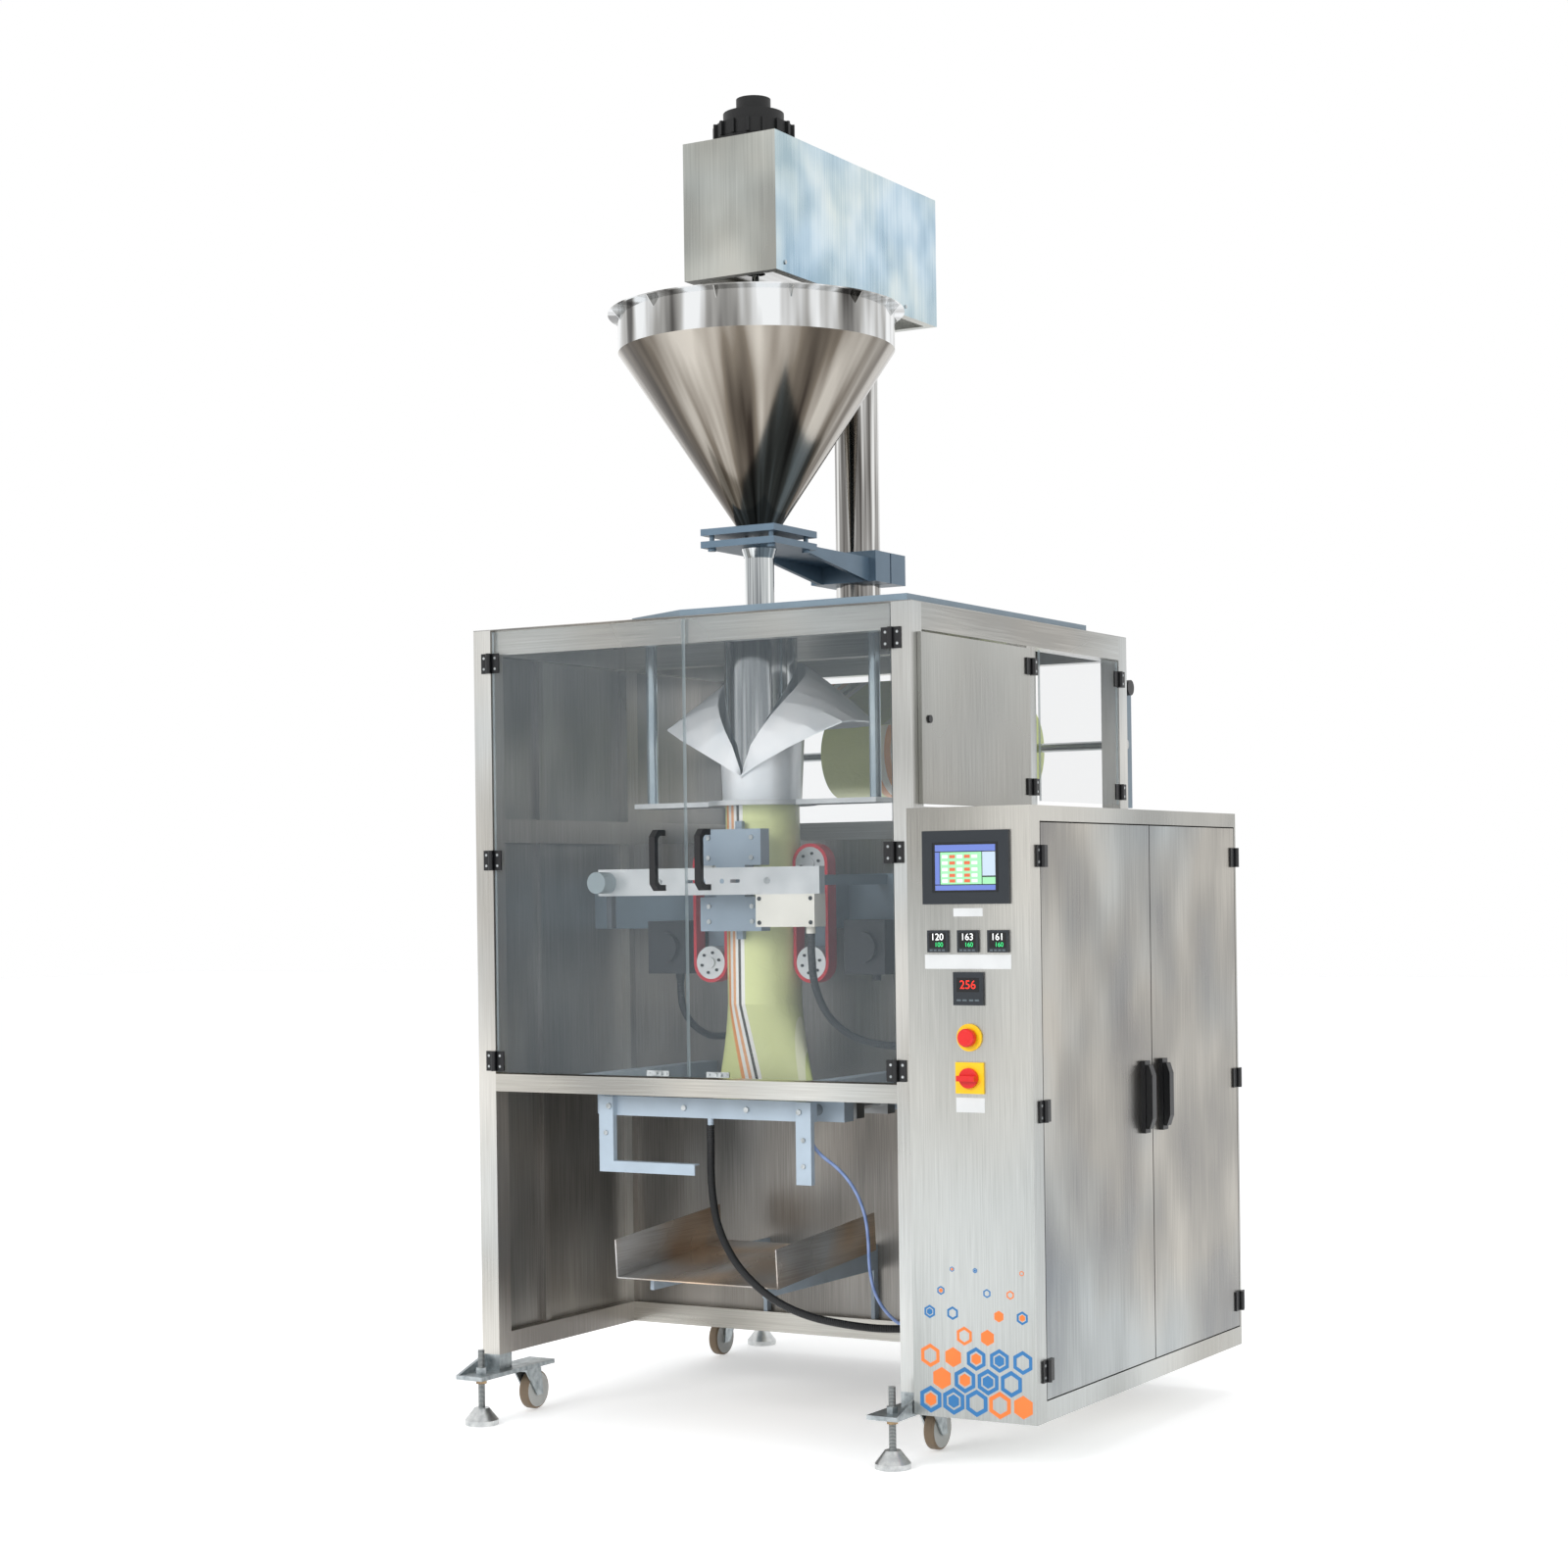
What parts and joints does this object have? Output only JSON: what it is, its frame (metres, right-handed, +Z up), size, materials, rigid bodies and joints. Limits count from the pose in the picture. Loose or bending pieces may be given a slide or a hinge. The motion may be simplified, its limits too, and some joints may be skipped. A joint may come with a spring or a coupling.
{
  "type": "auger powder filler",
  "caption": "Auger filler over a vertical form, fill and seal frame, with a cone hopper, film collar, pull belts, jaws and a side cabinet",
  "frame": {"origin": "on the floor, at the middle of the overall footprint, cabinet and reel included", "axes": "+Z up, -Y to the front, +X to the right seen from the front, towards the cabinet"},
  "size_m": [1.5264, 1.48, 3.193],
  "materials": {
    "frame_steel": "pad-brushed stainless tube",
    "panel_steel": "pad-brushed stainless sheet",
    "blue_grey": "hammered blue-grey paint",
    "cabinet_steel": "pad-brushed stainless sheet",
    "black_metal": "black coating",
    "polished_steel": "polished stainless steel",
    "bright_sheet": "brushed stainless sheet",
    "jaw_steel": "ground steel",
    "zinc_steel": "zinc plated",
    "sealer_grey": "blue-grey paint",
    "aluminium_part": "turned",
    "motor_black": "black paint",
    "dark_casting": "dark paint",
    "film_plastic": "thin printed film",
    "film_roll": "wound film",
    "red_rubber": "matt red rubber",
    "white_plastic": "moulded",
    "clear_sheet": "clear acrylic sheet",
    "black_plastic": "moulded",
    "instrument_black": "moulded",
    "red_plastic": "moulded",
    "unit_grey": "moulded housings on a plate",
    "wheel_rubber": "grey tread",
    "black_hose": "smooth",
    "grey_hose": "corrugated conduit",
    "blue_tube": "smooth tube"
  },
  "bodies": {
    "auger": {"auger": "polished_steel"},
    "film_reel": {"film_reel": "film_roll"},
    "film_roller": {"film_roller": "aluminium_part"},
    "pulley_left_upper": {"pulley_left_upper": "aluminium_part"},
    "pulley_left_lower": {"pulley_left_lower": "aluminium_part"},
    "pulley_right_upper": {"pulley_right_upper": "aluminium_part"},
    "pulley_right_lower": {"pulley_right_lower": "aluminium_part"},
    "vertical_sealer": {"vertical_sealer": "sealer_grey"},
    "front_jaw": {"front_jaw": "jaw_steel"},
    "rear_jaw": {"rear_jaw": "jaw_steel"},
    "front_door_left": {"front_door_left": "clear_sheet"},
    "front_door_right": {"front_door_right": "clear_sheet"},
    "side_door_solid": {"side_door_solid": "panel_steel"},
    "side_door_clear": {"side_door_clear": "clear_sheet"},
    "cabinet_door_front": {"cabinet_door_front": "cabinet_steel"},
    "cabinet_door_rear": {"cabinet_door_rear": "cabinet_steel"},
    "swing_handle_front": {"swing_handle_front": "black_plastic"},
    "swing_handle_rear": {"swing_handle_rear": "black_plastic"},
    "emergency_stop": {"emergency_stop": "red_plastic"},
    "main_switch": {"main_switch": "red_plastic"},
    "foot_front_left": {"foot_front_left": "zinc_steel"},
    "foot_rear_left": {"foot_rear_left": "zinc_steel"},
    "foot_front_right": {"foot_front_right": "zinc_steel"},
    "foot_rear_right": {"foot_rear_right": "zinc_steel"},
    "caster_fork_left": {"caster_fork_left": "zinc_steel"},
    "wheel_front_left": {"wheel_front_left": "wheel_rubber"},
    "wheel_rear_left": {"wheel_rear_left": "wheel_rubber"},
    "caster_fork_right": {"caster_fork_right": "zinc_steel"},
    "wheel_front_right": {"wheel_front_right": "wheel_rubber"},
    "wheel_rear_right": {"wheel_rear_right": "wheel_rubber"},
    "base": {"air_tube": "blue_tube", "auger_tube": "polished_steel", "belt_gearboxes": "dark_casting", "cabinet_shell": "cabinet_steel", "collar_stand": "polished_steel", "column_clamp": "blue_grey", "conduit": "grey_hose", "discharge_chute": "bright_sheet", "drive_box": "bright_sheet", "drive_motor": "motor_black", "electric_units": "unit_grey", "filler_column": "polished_steel", "film": "film_plastic", "foot_plates": "frame_steel", "forming_collar": "polished_steel", "forming_tube": "polished_steel", "frame_panels": "panel_steel", "frame_posts": "frame_steel", "frame_rails": "frame_steel", "hinge_leaves": "black_metal", "hopper": "polished_steel", "hose_left": "black_hose", "hose_right": "black_hose", "jaw_frame": "blue_grey", "jaw_shafts": "polished_steel", "junction_box": "white_plastic", "painted_plates": "blue_grey", "panel_instruments": "instrument_black", "pull_belts": "red_rubber", "seal_arm": "bright_sheet"}
  },
  "joints": [
    {"name": "auger_turn", "type": "hinge", "parent": "base", "child": "auger", "pos_m": [-0.16325, -0.276, 1.692], "axis": [0, 0, 1], "continuous": true},
    {"name": "film_reel_turn", "type": "hinge", "parent": "base", "child": "film_reel", "pos_m": [-0.16325, 0.62, 1.64], "axis": [1, 0, 0], "continuous": true},
    {"name": "film_roller_turn", "type": "hinge", "parent": "base", "child": "film_roller", "pos_m": [-0.16325, 0.29, 1.79], "axis": [1, 0, 0], "continuous": true},
    {"name": "pulley_left_upper_turn", "type": "hinge", "parent": "base", "child": "pulley_left_upper", "pos_m": [-0.30525, -0.276, 1.336], "axis": [0, 1, 0], "continuous": true},
    {"name": "pulley_left_lower_turn", "type": "hinge", "parent": "base", "child": "pulley_left_lower", "pos_m": [-0.30525, -0.276, 1.098], "axis": [0, 1, 0], "continuous": true},
    {"name": "pulley_right_upper_turn", "type": "hinge", "parent": "base", "child": "pulley_right_upper", "pos_m": [-0.02125, -0.276, 1.336], "axis": [0, 1, 0], "continuous": true},
    {"name": "pulley_right_lower_turn", "type": "hinge", "parent": "base", "child": "pulley_right_lower", "pos_m": [-0.02125, -0.276, 1.098], "axis": [0, 1, 0], "continuous": true},
    {"name": "vertical_sealer_slide", "type": "slide", "parent": "base", "child": "vertical_sealer", "axis": [0, 1, 0], "range_m": [0, 0.009]},
    {"name": "front_jaw_slide", "type": "slide", "parent": "base", "child": "front_jaw", "axis": [0, 1, 0], "range_m": [0, 0.044]},
    {"name": "rear_jaw_slide", "type": "slide", "parent": "base", "child": "rear_jaw", "axis": [0, -1, 0], "range_m": [0, 0.044]},
    {"name": "front_door_left_hinge", "type": "hinge", "parent": "base", "child": "front_door_left", "pos_m": [-0.71425, -0.638, 0.842], "axis": [0, 0, -1], "range_deg": [0, 165]},
    {"name": "front_door_right_hinge", "type": "hinge", "parent": "base", "child": "front_door_right", "pos_m": [0.38775, -0.638, 0.842], "axis": [0, 0, 1], "range_deg": [0, 120]},
    {"name": "side_door_solid_hinge", "type": "hinge", "parent": "base", "child": "side_door_solid", "pos_m": [0.45325, -0.038, 1.461], "axis": [0, 0, 1], "range_deg": [0, 150]},
    {"name": "side_door_clear_hinge", "type": "hinge", "parent": "base", "child": "side_door_clear", "pos_m": [0.44925, 0.488, 1.48], "axis": [0, 0, 1], "range_deg": [0, 150]},
    {"name": "cabinet_door_front_hinge", "type": "hinge", "parent": "base", "child": "cabinet_door_front", "pos_m": [0.74175, -0.613, 0.165], "axis": [0, 0, -1], "range_deg": [0, 120]},
    {"name": "cabinet_door_rear_hinge", "type": "hinge", "parent": "base", "child": "cabinet_door_rear", "pos_m": [0.74175, 0.524, 0.165], "axis": [0, 0, 1], "range_deg": [0, 120]},
    {"name": "swing_handle_front_turn", "type": "hinge", "parent": "cabinet_door_front", "child": "swing_handle_front", "pos_m": [0.74675, -0.067, 0.843], "axis": [-1, 0, 0], "range_deg": [0, 90]},
    {"name": "swing_handle_rear_turn", "type": "hinge", "parent": "cabinet_door_rear", "child": "swing_handle_rear", "pos_m": [0.74675, 0.037, 0.843], "axis": [1, 0, 0], "range_deg": [0, 90]},
    {"name": "emergency_stop_push", "type": "slide", "parent": "base", "child": "emergency_stop", "axis": [0, 1, 0], "range_m": [0, 0.004]},
    {"name": "main_switch_turn", "type": "hinge", "parent": "base", "child": "main_switch", "pos_m": [0.58575, -0.663, 0.86], "axis": [0, 1, 0], "range_deg": [0, 90]},
    {"name": "foot_front_left_screw", "type": "slide", "parent": "base", "child": "foot_front_left", "axis": [0, 0, 1], "range_m": [0, 0.025]},
    {"name": "foot_rear_left_screw", "type": "slide", "parent": "base", "child": "foot_rear_left", "axis": [0, 0, 1], "range_m": [0, 0.025]},
    {"name": "foot_front_right_screw", "type": "slide", "parent": "base", "child": "foot_front_right", "axis": [0, 0, 1], "range_m": [0, 0.025]},
    {"name": "foot_rear_right_screw", "type": "slide", "parent": "base", "child": "foot_rear_right", "axis": [0, 0, 1], "range_m": [0, 0.025]},
    {"name": "caster_swivel_left", "type": "hinge", "parent": "base", "child": "caster_fork_left", "pos_m": [-0.72325, -0.502, 0.112], "axis": [0, 0, 1], "continuous": true},
    {"name": "wheel_front_left_turn", "type": "hinge", "parent": "caster_fork_left", "child": "wheel_front_left", "pos_m": [-0.72325, -0.476, 0.05], "axis": [1, 0, 0], "continuous": true},
    {"name": "wheel_rear_left_turn", "type": "hinge", "parent": "base", "child": "wheel_rear_left", "pos_m": [-0.72325, 0.402, 0.05], "axis": [1, 0, 0], "continuous": true},
    {"name": "caster_swivel_right", "type": "hinge", "parent": "base", "child": "caster_fork_right", "pos_m": [0.39675, -0.502, 0.112], "axis": [0, 0, 1], "continuous": true},
    {"name": "wheel_front_right_turn", "type": "hinge", "parent": "caster_fork_right", "child": "wheel_front_right", "pos_m": [0.39675, -0.476, 0.05], "axis": [1, 0, 0], "continuous": true},
    {"name": "wheel_rear_right_turn", "type": "hinge", "parent": "base", "child": "wheel_rear_right", "pos_m": [0.39675, 0.402, 0.05], "axis": [1, 0, 0], "continuous": true}
  ],
  "couplings": [
    {"joint": "film_roller_turn", "follows": "film_reel_turn", "ratio": 6},
    {"joint": "rear_jaw_slide", "follows": "front_jaw_slide", "ratio": 1},
    {"joint": "pulley_left_upper_turn", "follows": "film_reel_turn", "ratio": 2.5},
    {"joint": "pulley_right_upper_turn", "follows": "film_reel_turn", "ratio": -2.5},
    {"joint": "pulley_left_lower_turn", "follows": "film_reel_turn", "ratio": 2.5},
    {"joint": "pulley_right_lower_turn", "follows": "film_reel_turn", "ratio": -2.5}
  ]
}
